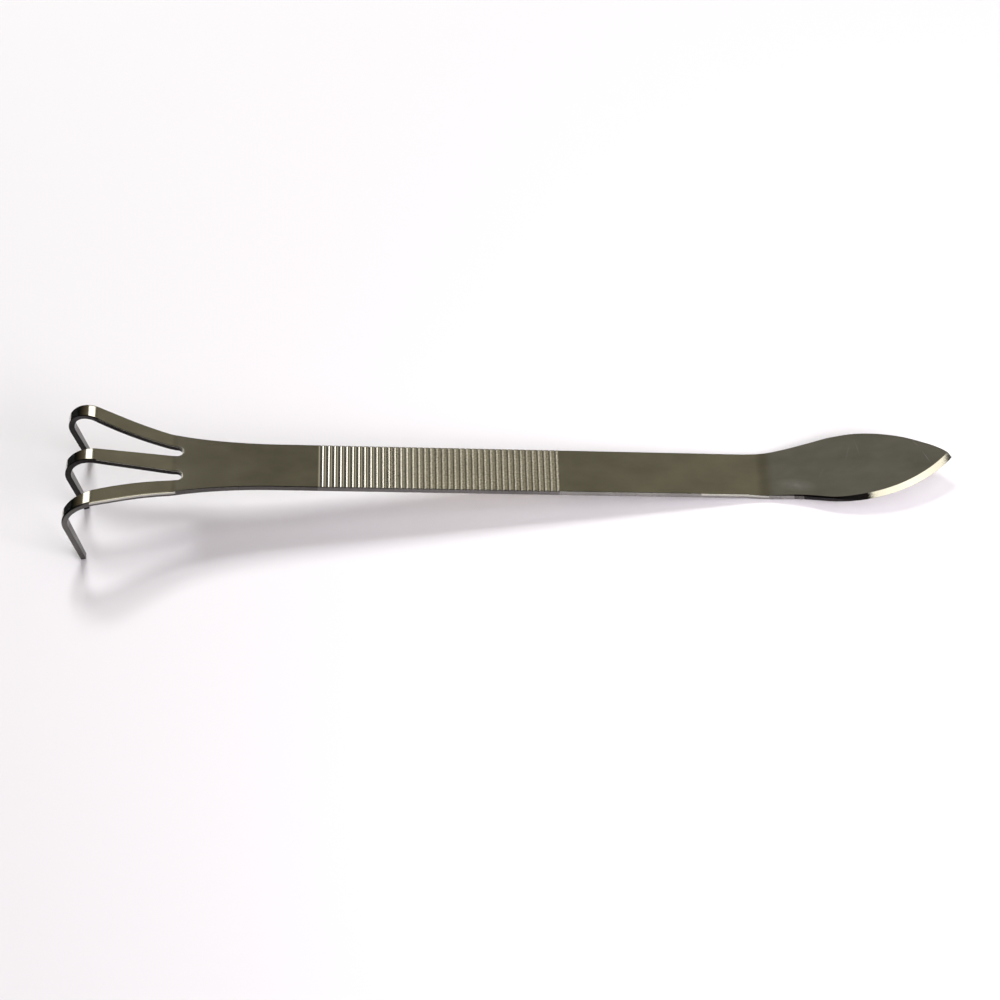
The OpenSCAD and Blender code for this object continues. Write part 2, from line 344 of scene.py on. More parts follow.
def band_kinds(count, upper_len, walls, rims, top, below):
    """What each face round a section is. walls and rims have one kind for the y0 side
    and one for the y1 side, and top and below are the kinds of the two broad faces."""
    kinds = []
    for i in range(count):
        if i < upper_len - 1:
            side = 0 if i < upper_len / 2 else 1
            j = min(i, upper_len - 2 - i)
            wall = RIM if rims[side] == RIM else walls[side]
            kinds.append(wall if j == 0 else rims[side] if j <= ARC else top)
        else:
            k = i - (upper_len - 1)
            side = 1 if k < (count - upper_len) / 2 else 0
            j = min(k, count - upper_len - k)
            kinds.append(walls[side] if j <= ARC else below)
    return kinds


class Solid:
    """Points, faces with a kind each, and a normal at every corner."""

    def __init__(self):
        self.points, self.faces, self.kinds, self.normals, self.uvs = [], [], [], [], []
        self.found = {}

    def add_point(self, p):
        key = tuple(round(float(c), 5) + 0.0 for c in p)
        if key not in self.found:
            self.found[key] = len(self.points)
            self.points.append(np.array(p, float))
        return self.found[key]

    def add_face(self, indices, normals, kind, uvs):
        keep = [i for i, q in enumerate(indices) if q != indices[i - 1]]
        if len(keep) < 3:
            return
        indices, normals, uvs = ([list(v)[i] for i in keep] for v in (indices, normals, uvs))
        self.faces.append(list(indices))
        self.normals.append([tuple(n) for n in normals])
        self.kinds.append(kind)
        self.uvs.append(list(uvs))

    def loft(self, path, stations, sections, s_of, kinds_at=None, cap_start=True):
        """A skin over sections along a path. s_of turns a station into mm of the strip."""
        rings, ring_n, ring_uv = [], [], []
        for s, (ring, _) in zip(stations, sections):
            p, d, up = path.at(s)
            points = [p + up * r[1] + np.array([0, r[0], 0]) for r in ring]
            rings.append([self.add_point(q) for q in points])
            ring_n.append([d * r[2] + np.array([0, r[3], 0]) + up * r[4] for r in ring])
            ring_uv.append([(s_of(s) / UV_MM, r[0] / UV_MM) for r in ring])
        n = len(sections[0][0])
        upper_len = sections[0][1]
        plain = ((EDGE, EDGE), (EDGE, EDGE), FACE, FACE)
        for a in range(len(rings) - 1):
            middle = (stations[a] + stations[a + 1]) / 2
            kinds = band_kinds(n, upper_len, *(kinds_at(middle) if kinds_at else plain))
            for i in range(n):
                corners = ((a, i), (a, (i + 1) % n), (a + 1, (i + 1) % n), (a + 1, i))
                points, normals, uvs = (
                    [rows[ring][q] for ring, q in corners] for rows in (rings, ring_n, ring_uv)
                )
                self.add_face(points, normals, kinds[i], uvs)
        for k, wanted in ((0, cap_start), (len(rings) - 1, True)):
            if wanted:
                _, d, _ = path.at(stations[k])
                self.cap(rings[k], n, upper_len, -d if k == 0 else d, ring_uv[k])

    def cap(self, ring, n, upper_len, normal, uv):
        """Closes a ring with a column of faces for each step across it."""
        last = upper_len - 1
        lower = [0] + [n - i for i in range(1, last)] + [last]
        columns = [(0, 1, 2)]
        columns += [(i, i + 1) for i in range(2, last - 2)]
        columns += [(last - 2, last - 1, last)]
        for column in columns:
            corners = []
            for q in column + tuple(lower[i] for i in reversed(column)):
                if q not in corners:
                    corners.append(q)
            points, uvs = [ring[q] for q in corners], [uv[q] for q in corners]
            self.add_face(points, [normal] * len(corners), EDGE, uvs)

    def orient(self):
        """Turns the faces so that neighbours agree and all of them face outwards."""
        faces_at = {}
        for k, f in enumerate(self.faces):
            for a, b in zip(f, f[1:] + f[:1]):
                faces_at.setdefault((min(a, b), max(a, b)), []).append((k, a < b))
        turned = {0: False}
        queue = [0]
        for k in queue:
            f = self.faces[k]
            for a, b in zip(f, f[1:] + f[:1]):
                for other, rising in faces_at[min(a, b), max(a, b)]:
                    if other not in turned:
                        turned[other] = turned[k] != (rising == (a < b))
                        queue.append(other)
        volume = 0.0
        for k, f in enumerate(self.faces):
            p = [self.points[i] for i in f]
            for q, r in zip(p[1:-1], p[2:]):
                part = float(np.dot(p[0], np.cross(q, r)))
                volume += -part if turned[k] else part
        for k in range(len(self.faces)):
            if turned[k] != (volume < 0):
                self.faces[k] = self.faces[k][::-1]
                self.normals[k] = self.normals[k][::-1]
                self.uvs[k] = self.uvs[k][::-1]


REST = Matrix.Rotation(rest_lean, 4, "Y")


def at_rest(v):
    """From the flat strip's own mm to the shared frame, in metres."""
    p = REST @ Vector(v)
    return Vector((p.x - (low_x + high_x) / 2, p.y, p.z - base_z)) * MM


def make_piece(name, solid, node, materials):
    """materials has one for each kind of face."""
    solid.orient()
    mesh = bpy.data.meshes.new(name)
    mesh.from_pydata([at_rest(p) for p in solid.points], [], solid.faces)
    for m in materials:
        mesh.materials.append(m)
    mesh.polygons.foreach_set("material_index", solid.kinds)
    mesh.polygons.foreach_set("use_smooth", [True] * len(solid.faces))
    layer = mesh.uv_layers.new(name="StripUV")
    layer.data.foreach_set("uv", [c for face in solid.uvs for uv in face for c in uv])
    normals = []
    for face in solid.normals:
        for n in face:
            v = (REST @ Vector(n)).normalized()
            normals.append((v.x, v.y, v.z))
    mesh.validate(clean_customdata=False)
    mesh.normals_split_custom_set(normals)
    mesh.update()
    obj = bpy.data.objects.new(name, mesh)
    bpy.context.scene.collection.objects.link(obj)
    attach(obj, "root")
    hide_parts(node)


# --------------------------------------------------------------------- pieces
def spaced(a, b, n):
    """n + 1 even places from a to b."""
    return [a + (b - a) * i / n for i in range(n + 1)]


def slope_of(f, s):
    step = 0.01
    return (f(s + step) - f(s - step)) / (2 * step)


def tine_edges(side, x, z, past_flat):
    """y of both edges of a tine at a point of its middle line: curved on the flat, a
    blend over the hook and straight down the leg. past_flat is how far the point lies
    beyond the start of the hook. side is +1 or -1 for an outer tine, 0 for the middle."""
    if past_flat > 1 and z < hook_z:
        drop = (hook_z - z) / leg_drop
        w = LEG_TOP_W + (LEG_TIP_W - LEG_TOP_W) * drop
        y = LEG_TOP_Y + (LEG_TIP_Y - LEG_TOP_Y) * drop if side else 0.0
        return y - w / 2, y + w / 2
    if past_flat > 0:
        k = (hook_start_x - x) / (hook_start_x - hook_x + hook_mid_r)
        if not side:
            w = MIDDLE_HOOK_W + (LEG_TOP_W - MIDDLE_HOOK_W) * k
            return -w / 2, w / 2
        out = []
        for y, slope, goal in (
            (inner_y(hook_start_x), gap_to[2], LEG_TOP_Y - LEG_TOP_W / 2),
            (outer_y(hook_start_x), side_to[2], LEG_TOP_Y + LEG_TOP_W / 2),
        ):
            rise = hook_run * math.tan(slope)
            out.append(y + rise * k + (goal - y - rise) * k * k)
        return tuple(out)
    if not side:
        return -middle_y(x), middle_y(x)
    return inner_y(x), outer_y(x)


def tip_section(y0, y1, turned, outer_r):
    """A section of the leg's round end, turned from the leg's wall towards its tip."""
    shrink = TIP_R * (1 - math.cos(turned)) * 0.999
    ring, upper_len = section(
        y0 + shrink,
        y1 - shrink,
        0,
        0,
        round_edge(max(GAP_EDGE_R - shrink, SMALLEST_R)),
        round_edge(max(UNDER_R - shrink, SMALLEST_R)),
        TINE_ACROSS,
        HALF_T - shrink,
        edge1=round_edge(max(outer_r - shrink, SMALLEST_R)),
    )
    c, t = math.cos(turned), math.sin(turned)
    return [(r[0], r[1], t, r[3] * c, r[4] * c) for r in ring], upper_len


def mirrored(solid):
    """The same tine on the other side of the tool."""
    solid.points = [np.array([p[0], -p[1], p[2]]) for p in solid.points]
    solid.normals = [[np.array([n[0], -n[1], n[2]]) for n in f] for f in solid.normals]
    solid.uvs = [[(u, -v) for u, v in f] for f in solid.uvs]
    return solid


def tine_solid(side):
    bend = math.pi / 2 + LEG_LEAN + TINE_RISE
    fold = (ROOT_FOLD_R * TINE_RISE, TINE_RISE)
    flat, hook, leg = (TINE_L - root_cut, 0.0), (hook_mid_r * bend, -bend), (LEG_L, 0.0)
    path = Path(root_cut, 0.0, 0.0, -1, [fold, flat, hook, leg])
    fold_s, flat_s, hook_s, end_s = [k[0] for k in path.knots[1:]]

    def edges(s):
        x, _, z = path.at(min(max(s, 0.0), end_s))[0]
        return tine_edges(side, x, z, s - flat_s)

    stations = (
        spaced(0, fold_s, 8)[:-1]
        + spaced(fold_s, flat_s, 16)[:-1]
        + spaced(flat_s, hook_s, 44)[:-1]
        + spaced(hook_s, end_s - TIP_R, 10)
    )
    sections = []
    for s in stations:
        y0, y1 = edges(s)
        m0, m1 = slope_of(lambda q: edges(q)[0], s), slope_of(lambda q: edges(q)[1], s)
        k = min(s / fold_s, 1.0)
        inner = round_edge(EDGE_R + (GAP_EDGE_R - EDGE_R) * k)
        outer = round_edge(EDGE_R + (TINE_EDGE_R - EDGE_R) * k) if side else inner
        under = round_edge(UNDER_R)
        sections.append(section(y0, y1, m0, m1, inner, under, TINE_ACROSS, edge1=outer))
    for turned in spaced(0, math.pi / 2, TIP_STEPS)[1:]:
        s = end_s - TIP_R * (1 - math.sin(turned))
        sections.append(tip_section(*edges(s), turned, TINE_EDGE_R if side else GAP_EDGE_R))
        stations.append(s)

    # walls and rims facing the gaps are near-black, painted shade; the underside near the hook is
    # dim, painted shade; the outer rim is pale steel, a painted highlight, to just past the flat
    def kinds_at(s):
        inner_rim = FACE if s < flat_s else PAINTED_DARK
        below = PAINTED_DIM if s > hook_s - TINE_INSIDE_RUN else FACE
        if not side:
            return (PAINTED_DARK, PAINTED_DARK), (inner_rim, inner_rim), FACE, below
        outer_rim = RIM if s < flat_s + TINE_SHINE_PAST_FOLD else EDGE
        return (PAINTED_DARK, EDGE), (inner_rim, outer_rim), FACE, below

    solid = Solid()
    solid.loft(path, stations, sections, lambda s: root_cut - s, kinds_at)
    return mirrored(solid) if side < 0 else solid


def strip_uv(p):
    return (p[0] / UV_MM, p[1] / UV_MM)


def outer_stretch(x):
    """How much wider an inset becomes, measured across the strip, on a sloping edge."""
    return math.hypot(1, slope_of(outer_y, x))


def root_line(j, radius):
    """Column j of the line where the tines begin, which goes round both gap ends. It keeps
    radius away from the edges."""
    r = GAP_END_R + radius
    edge = outer_y(root_cut) - radius * outer_stretch(root_cut)
    bow = 0.0
    if j <= NEAR_GAP:
        y = -edge + (edge - GAP_Y - r) * j / OUTER_STEPS
    elif j <= MIDDLE_TINE:
        a = math.pi * (j - NEAR_GAP) / GAP_STEPS
        y, bow = -GAP_Y - r * math.cos(a), r * math.sin(a)
    elif j <= FAR_GAP:
        y = (GAP_Y - r) * (2 * (j - MIDDLE_TINE) / MIDDLE_STEPS - 1)
    elif j <= FAR_TINE:
        a = math.pi * (j - FAR_GAP) / GAP_STEPS
        y, bow = GAP_Y - r * math.cos(a), r * math.sin(a)
    else:
        y = GAP_Y + r + (edge - GAP_Y - r) * (j - FAR_TINE) / OUTER_STEPS
    return np.array([root_cut + bow, y])


def palm_grid(solid, radius, z, normal):
    """The flat top or underside between the line of the roots and a straight line
    across the palm, blended between the columns where the root line turns."""

    def across(j):
        edge = outer_y(PALM_GRID_END) - radius * outer_stretch(PALM_GRID_END)
        return np.array([PALM_GRID_END, -edge + 2 * edge * j / ACROSS])

    def along(j, f):
        if j in (0, ACROSS):
            x = root_cut + (PALM_GRID_END - root_cut) * f
            y = outer_y(x) - radius * outer_stretch(x)
            return np.array([x, -y if j == 0 else y])
        return root_line(j, radius) * (1 - f) + across(j) * f

    def blended(j, f, first, last):
        b = (j - first) / (last - first)
        root = root_line(j, radius) - (1 - b) * root_line(first, radius) - b * root_line(last, radius)
        far = across(j) - (1 - b) * across(first) - b * across(last)
        return (1 - b) * along(first, f) + b * along(last, f) + (1 - f) * root + f * far

    turns = [0, NEAR_GAP, MIDDLE_TINE, FAR_GAP, FAR_TINE, ACROSS]
    rows = []
    for i in range(PALM_STEPS + 1):
        row = [blended(0, i / PALM_STEPS, 0, NEAR_GAP)]
        for first, last in zip(turns[:-1], turns[1:]):
            row += [blended(j, i / PALM_STEPS, first, last) for j in range(first + 1, last + 1)]
        rows.append([solid.add_point(np.array([p[0], p[1], z])) for p in row])
    for i in range(PALM_STEPS):
        for j in range(ACROSS):
            cell = [rows[a][b] for a, b in ((i, j), (i + 1, j), (i + 1, j + 1), (i, j + 1))]
            uvs = [strip_uv(solid.points[q]) for q in cell]
            solid.add_face(cell, [normal] * 4, FACE, uvs)


def edge_column(point, out, stretch):
    """(place, normal) from the top face over the edge at point to the underside."""
    rows = []
    for radius, flip, order in ((EDGE_R, 1, -1), (UNDER_R, -1, 1)):
        for inset, depth, outwards, upwards in round_edge(radius)[::order]:
            x, y = point - stretch * inset
            place = np.array([x, y, flip * (HALF_T - depth)])
            rows.append((place, np.array([*(out * outwards), flip * upwards])))
        if flip > 0:
            rows.append((np.array([*point, 0.0]), np.array([*out, 0.0])))
    return rows


def edge_strip(solid, columns, kinds_of):
    """Faces between neighbouring columns; kinds_of gives (wall, rim) part way along."""
    for i, (a, b) in enumerate(zip(columns[:-1], columns[1:])):
        wall, rim = kinds_of((i + 0.5) / (len(columns) - 1))
        for k in range(len(a) - 1):
            quad = (a[k], a[k + 1], b[k + 1], b[k])
            points = [solid.add_point(place) for place, _ in quad]
            normals = [normal for _, normal in quad]
            uvs = [strip_uv(place) for place, _ in quad]
            solid.add_face(points, normals, rim if k < ARC else wall, uvs)


def palm_edges(solid):
    """Both outer edges beside the flat grid, and the round ends of the two gaps."""
    for sign in (-1, 1):
        columns = []
        for x in spaced(root_cut, PALM_GRID_END, PALM_STEPS):
            m, k = slope_of(outer_y, x), outer_stretch(x)
            point, out = np.array([x, sign * outer_y(x)]), np.array([-m / k, sign / k])
            columns.append(edge_column(point, out, np.array([0, sign * k])))
        edge_strip(solid, columns, lambda f: (EDGE, EDGE))
        columns = []
        for a in spaced(0, math.pi, GAP_STEPS):
            radial = np.array([math.sin(a), -math.cos(a)])
            point = np.array([root_cut, sign * GAP_Y]) + radial * GAP_END_R
            columns.append(edge_column(point, -radial, -radial))
        # round each gap end the edge is pale steel in its middle span, a painted highlight, and
        # beside it the wall is near-black, painted shade
        edge_strip(
            solid,
            columns,
            lambda f: (RIM, RIM) if GAP_SHINE_FROM < f < GAP_SHINE_TO else (PAINTED_DARK, FACE),
        )


def palm_ends(solid):
    """The three flat ends where the tines begin."""
    k = outer_stretch(root_cut)
    inner, outer = GAP_Y + GAP_END_R, outer_y(root_cut)
    spans = (
        (-outer, -inner, k, 1.0, OUTER_STEPS),
        (GAP_END_R - GAP_Y, GAP_Y - GAP_END_R, 1.0, 1.0, MIDDLE_STEPS),
        (inner, outer, 1.0, k, OUTER_STEPS),
    )
    for y0, y1, k0, k1, n in spans:
        rows = []
        for profile, flip in ((round_edge(EDGE_R), 1), (round_edge(UNDER_R), -1)):
            a = [(y0 + inset * k0, flip * (HALF_T - depth)) for inset, depth, _, _ in profile]
            b = [(y1 - inset * k1, flip * (HALF_T - depth)) for inset, depth, _, _ in profile]
            flat = [(y, flip * HALF_T) for y in spaced(a[-1][0], b[-1][0], n)[1:-1]]
            rows.append([(y0, 0.0)] + a + flat + b[::-1] + [(y1, 0.0)])
        for j in range(len(rows[0]) - 1):
            points = []
            for y, z in (rows[0][j], rows[0][j + 1], rows[1][j + 1], rows[1][j]):
                q = solid.add_point(np.array([root_cut, y, z]))
                if q not in points:
                    points.append(q)
            uvs = [strip_uv(solid.points[q]) for q in points]
            solid.add_face(points, [np.array([-1.0, 0, 0])] * len(points), EDGE, uvs)


def palm_solid():
    path = Path(root_cut, 0.0, 0.0, 1, [(GRIP_X - root_cut, 0.0)])
    places = spaced(PALM_GRID_END, FLARE_X, 24)[:-1] + spaced(FLARE_X, GRIP_X, 4)
    stations = [x - root_cut for x in places]
    sections = []
    for x in places:
        y, m = outer_y(x), slope_of(outer_y, x)
        sections.append(section(-y, y, -m, m, round_edge(EDGE_R), round_edge(UNDER_R), ACROSS))
    solid = Solid()
    solid.loft(path, stations, sections, lambda s: root_cut + s, cap_start=False)
    up = np.array([0, 0, 1.0])
    palm_grid(solid, EDGE_R, HALF_T, up)
    palm_grid(solid, UNDER_R, -HALF_T, -up)
    palm_edges(solid)
    palm_ends(solid)
    return solid


def groove_profile():
    """Half a groove and half a rib: (distance from the groove, depth, slope of depth)."""
    # the floor of the groove, then the round crown of the rib
    rows = []
    for k in (0.0, 0.3, 0.6, 0.85):
        rows.append((GROOVE_HALF * k, GROOVE_DEPTH - CROWN_DROP * k * k * 0.2, -0.5 * k))
    for q in [0.12, 0.17] + spaced(0.22, 0.7, 8):
        height = math.sqrt(CROWN_R**2 - (PITCH / 2 - q) ** 2)
        rows.append((q, CROWN_R - height, (q - PITCH / 2) / height))
    return rows


def grip_solid():
    path = Path(GRIP_X, 0.0, 0.0, 1, [(grip_end_x - GRIP_X, 0.0)])
    half = groove_profile()
    stations, tops = [0.0], [(0.0, 0.0)]
    for i in range(GROOVES):
        middle = PITCH * (i + 0.5)
        for q, depth, slope in reversed(half[1:]):
            stations.append(middle - q)
            tops.append((depth, -slope))
        for q, depth, slope in half:
            stations.append(middle + q)
            tops.append((depth, slope))
        stations.append(middle + PITCH / 2)
        tops.append((0.0, 0.0))
    sections = []
    m = slope_of(shank_y, GRIP_X)
    for s, (depth, slope) in zip(stations, tops):
        y = shank_y(GRIP_X + s)
        n = math.hypot(1, slope)
        edge, under = round_edge(EDGE_R), round_edge(UNDER_R)
        top = HALF_T - depth if depth > 0 else None
        sections.append(
            section(-y, y, -m, m, edge, under, STRIP_ACROSS, top=top, top_n=(slope / n, 1 / n))
        )
    solid = Solid()

    def kinds_at(s):
        # the floors of the grooves take the dim steel: painted shade
        from_groove = abs(s % PITCH - PITCH / 2)
        top = PAINTED_DIM if from_groove < GROOVE_HALF else FACE
        return (EDGE, EDGE), (EDGE, EDGE), top, FACE

    solid.loft(path, stations, sections, lambda s: GRIP_X + s, kinds_at)
    return solid


def shank_solid():
    path = Path(grip_end_x, 0.0, 0.0, 1, [(neck_start_x - grip_end_x, 0.0)])
    stations = spaced(0, path.length, 16)
    m = slope_of(shank_y, NECK_X)
    sections = []
    for s in stations:
        y = shank_y(grip_end_x + s)
        edge, under = round_edge(EDGE_R), round_edge(UNDER_R)
        sections.append(section(-y, y, -m, m, edge, under, STRIP_ACROSS))
    solid = Solid()

    def kinds_at(s):
        # the rims are pale steel, a painted highlight, only towards the neck, and a dim cut edge
        # before that
        rim = RIM if s > SHINE_FROM - grip_end_x else EDGE
        return (EDGE, EDGE), (rim, rim), FACE, FACE

    solid.loft(path, stations, sections, lambda s: grip_end_x + s, kinds_at)
    return solid


def smooth(a, b, x):
    """0 up to a, 1 from b on, and an even curve between them."""
    k = min(max((x - a) / (b - a), 0.0), 1.0)
    return k * k * (3 - 2 * k)


def built_up(u, start, *steps):
    """start, and what each (added, from, to) has added by u along the leaf."""
    return start + sum(added * smooth(a, b, u) for added, a, b in steps)


def leaf_edges(u, room):
    """The profiles of the near and far rims at u along the leaf: round at the neck,
    then a ground bevel, and where the leaf is narrow the two bevels meet in a ridge.
    room is half the leaf's width."""
    near_w, far_w, depth = (built_up(u, *rim) for rim in (NEAR_RIM_W, FAR_RIM_W, RIM_DEPTH))
    share = min(1.0, RIMS_SHARE * 2 * room / (near_w + far_w))
    ridge = depth * (1 - share)
    edges = []
    for width in (near_w, far_w):
        limit = (width + FILLET) * share
        bevel = bevel_edge(width, depth, FILLET)
        edge = mixed_edge(round_edge(min(EDGE_R, ROUND_SHARE * room)), bevel, smooth(1, 6, u))
        edges.append([(min(a, limit), max(b, ridge), out, up) for a, b, out, up in edge])
    return edges[0], edges[1], ridge


def leaf_kinds(u):
    """Polished at the shank, then a cut edge whose near side darkens into a painted dark reflection,
    then the ground bevel.
    """
    if u < SHINE_TO:
        return (EDGE, EDGE), (RIM, RIM), FACE, FACE
    if u > GROUND_FROM:
        return (RIM, RIM), (RIM, RIM), FACE, FACE
    near = PAINTED_DARK if u > DARK_FROM else PAINTED_DIM if u > DULL_FROM else EDGE
    return (near, EDGE), (near, EDGE), FACE, FACE


def leaf_under(u):
    """The radius of the lower edge, sharper on the leaf than on the strip."""
    return UNDER_R - (UNDER_R - LEAF_UNDER_R) * smooth(0, 6, u)


def neck_solid():
    arc = NECK_FOLD_R * BLADE_RISE
    lead = NECK_X - neck_cut - neck_start_x
    path = Path(
        neck_start_x,
        0.0,
        0.0,
        1,
        [(lead, 0.0), (arc, BLADE_RISE), (join_x - neck_cut, 0.0)],
    )

    def along_leaf(s):
        x = path.at(s)[0][0] - NECK_X
        return x / math.cos(BLADE_RISE) if x > 0 else x

    def near(s):
        return -neck_y(along_leaf(s)) - near_extra(along_leaf(s))

    def far(s):
        return neck_y(along_leaf(s))

    stations = (
        spaced(0, lead, 3)[:-1]
        + spaced(lead, lead + arc, 12)[:-1]
        + spaced(lead + arc, path.length, 14)
    )
    sections = []
    for s in stations:
        t = min(s, path.length - NOSE_CUT)
        m0, m1 = slope_of(near, t), slope_of(far, t)
        edge0, edge1, _ = leaf_edges(along_leaf(s), far(s))
        under = round_edge(leaf_under(along_leaf(s)))
        sections.append(section(near(s), far(s), m0, m1, edge0, under, LEAF_ACROSS, edge1=edge1))
    solid = Solid()

    def kinds_at(s):
        return leaf_kinds(along_leaf(s))

    solid.loft(path, stations, sections, lambda s: neck_start_x + s, kinds_at)
    return solid


def blade_solid():
    length = NOSE_END - NOSE_CUT - join_x
    start_x = NECK_X + join_x * math.cos(BLADE_RISE)
    path = Path(start_x, join_x * math.sin(BLADE_RISE), BLADE_RISE, 1, [(length, 0.0)])
    stations = [length * (1 - (1 - f) ** BLADE_CROWDING) for f in spaced(0, 1, BLADE_STATIONS)]
    sections = []
    for s in stations:
        u = join_x + s
        near, far = leaf_sides(u)
        # the nose's own slopes would run away to infinity
        t = min(u, NOSE_END - NOSE_SLOPE_STOP)
        m0, m1 = (slope_of(lambda q: leaf_sides(q)[k], t) for k in (0, 1))
        room = (far - near) / 2 / math.hypot(1, max(abs(m0), abs(m1)))
        edge0, edge1, ridge = leaf_edges(u, room)
        under = round_edge(min(leaf_under(u), ROUND_SHARE * room))
        top = HALF_T - ridge if ridge else None
        ridge_n = (0.3, 0.95)
        sections.append(
            section(near, far, m0, m1, edge0, under, LEAF_ACROSS, top=top, top_n=ridge_n, edge1=edge1)
        )
    solid = Solid()
    strip_x = NECK_X - 2 * neck_cut + NECK_FOLD_R * BLADE_RISE + join_x
    solid.loft(
        path, stations, sections, lambda s: strip_x + s, lambda s: leaf_kinds(join_x + s)
    )
    return solid


# ------------------------------------------------------------------ materials
# the span that a noise value covers in practice
NOISE_SPAN = (0.3, 0.7)
GRAIN_START, ROUGH_END = 0.12, 4.3
SCRATCH_HALF_W = 0.5
SCUFF_COLOUR = (0.95, 0.95, 0.95, 1)


def feed(tree, socket, value):
    """Links an output to a socket, or sets the socket to a plain value."""
    if isinstance(value, bpy.types.NodeSocket):
        tree.links.new(value, socket)
    else:
        socket.default_value = value


def remap(tree, value, span, to_span, clamp=True):
    node = tree.nodes.new("ShaderNodeMapRange")
    node.clamp = clamp
    names = ("Value", "From Min", "From Max", "To Min", "To Max")
    for name, setting in zip(names, (value, *span, *to_span)):
        feed(tree, node.inputs[name], setting)
    return node.outputs["Result"]


def times(tree, a, b, clamp=False):
    node = tree.nodes.new("ShaderNodeMath")
    node.operation = "MULTIPLY"
    node.use_clamp = clamp
    feed(tree, node.inputs[0], a)
    feed(tree, node.inputs[1], b)
    return node.outputs["Value"]


def mix(tree, a, b, factor=1.0, blend="MIX"):
    node = tree.nodes.new("ShaderNodeMix")
    node.data_type = "RGBA"
    node.blend_type = blend
    for name, setting in (("A", a), ("B", b), ("Factor", factor)):
        feed(tree, node.inputs[name], setting)
    return node.outputs["Result"]


def noise(tree, uv, scale, detail, stretch, rough=0.5):
    place = tree.nodes.new("ShaderNodeMapping")
    place.inputs["Scale"].default_value = stretch
    tree.links.new(uv, place.inputs["Vector"])
    node = tree.nodes.new("ShaderNodeTexNoise")
    node.inputs["Scale"].default_value = scale
    node.inputs["Detail"].default_value = detail
    node.inputs["Roughness"].default_value = rough
    tree.links.new(place.outputs["Vector"], node.inputs["Vector"])
    return node.outputs["Fac"]


def marked(tree, uv, cloud, colour, x, y, degrees, half_l, half_w, strength):
    """colour with one pale oval mark: a thin scratch, or a broad and patchy scuff."""
    place = tree.nodes.new("ShaderNodeMapping")
    place.vector_type = "TEXTURE"
    place.inputs["Location"].default_value = (x / UV_MM, y / UV_MM, 0)
    place.inputs["Rotation"].default_value = (0, 0, math.radians(degrees))
    place.inputs["Scale"].default_value = (half_l / UV_MM, half_w / UV_MM, 1)
    tree.links.new(uv, place.inputs["Vector"])
    oval = tree.nodes.new("ShaderNodeTexGradient")
    oval.gradient_type = "SPHERICAL"
    tree.links.new(place.outputs["Vector"], oval.inputs["Vector"])
    patches = cloud if half_w < SCRATCH_HALF_W else noise(tree, uv, 60, 5, (1, 1, 1), 0.8)
    amount = times(tree, times(tree, oval.outputs["Fac"], patches), strength, clamp=True)
    return mix(tree, colour, SCUFF_COLOUR, amount)


def steel(
    name,
    colour,
    roughness,
    grain,
    grain_scale,
    mottling=0.12,
    stretch=(1.2, 26, 1),
    rougher=None,
    far_colour=None,
    marks=(),
):
    """rougher, if given, is where along the strip (in mm) the grain begins and is full,
    and the colour changes to far_colour there.
    marks are (along, across, degrees, half length, half width, strength), in mm."""
    material = bpy.data.materials.new(name)
    material.use_nodes = True
    tree = material.node_tree
    tree.nodes.clear()
    output = tree.nodes.new("ShaderNodeOutputMaterial")
    shader = tree.nodes.new("ShaderNodeBsdfPrincipled")
    shader.inputs["Metallic"].default_value = 1.0
    tree.links.new(shader.outputs["BSDF"], output.inputs["Surface"])
    uv = tree.nodes.new("ShaderNodeTexCoord").outputs["UV"]

    streaks = noise(tree, uv, grain_scale, 4, stretch)
    cloud = noise(tree, uv, 9, 3, (1, 1.6, 1))
    base, height = (*colour, 1), streaks
    rough = remap(tree, streaks, NOISE_SPAN, (roughness * 0.85, roughness * 1.15))
    if rougher:
        along = tree.nodes.new("ShaderNodeSeparateXYZ")
        tree.links.new(uv, along.inputs["Vector"])
        span = (rougher[0] / UV_MM, rougher[1] / UV_MM)
        grow = remap(tree, along.outputs["X"], span, (GRAIN_START, 1.0))
        base = mix(tree, base, (*far_colour, 1), grow)
        height = times(tree, streaks, grow)
        rough = times(tree, rough, remap(tree, grow, (GRAIN_START, 1.0), (1.0, ROUGH_END)))
    mottled = remap(tree, cloud, NOISE_SPAN, (1 - mottling, 1 + mottling))
    wear_and_sparkle = mix(tree, base, mottled, blend="MULTIPLY")
    for mark in marks:
        wear_and_sparkle = marked(tree, uv, cloud, wear_and_sparkle, *mark)
    if rougher:
        # light and dark flecks along the rough grip: random tone, and the light ones a painted
        # sparkle
        flecks_and_glints = remap(tree, streaks, (0.35, 0.65), (0.76, 1.3), clamp=False)
        wear_and_sparkle = mix(tree, wear_and_sparkle, flecks_and_glints, grow, "MULTIPLY")

    bump = tree.nodes.new("ShaderNodeBump")
    bump.inputs["Strength"].default_value = grain
    bump.inputs["Distance"].default_value = 0.1 * MM
    tree.links.new(height, bump.inputs["Height"])
    tree.links.new(wear_and_sparkle, shader.inputs["Base Color"])
    tree.links.new(rough, shader.inputs["Roughness"])
    tree.links.new(bump.outputs["Normal"], shader.inputs["Normal"])
    return material


face_steel = steel(
    "satin_steel_face",
    (0.5, 0.48, 0.42),
    0.11,
    0.08,
    30,
    marks=(
        (NECK_X + 7.5, -4.6, -18, 5.6, 2.2, 1.0),
        (NECK_X + 21.0, 4.0, 75, 3.0, 0.2, 0.45),
        (NECK_X + 23.5, 5.0, 100, 3.4, 0.18, 0.45),
        (NECK_X + 40.3, -0.6, 112, 2.6, 0.22, 1.0),
        (NECK_X + 38.0, 4.2, 125, 1.4, 0.2, 0.7),
        (NECK_X + 14.0, -1.5, 60, 2.2, 0.15, 0.4),
    ),
)
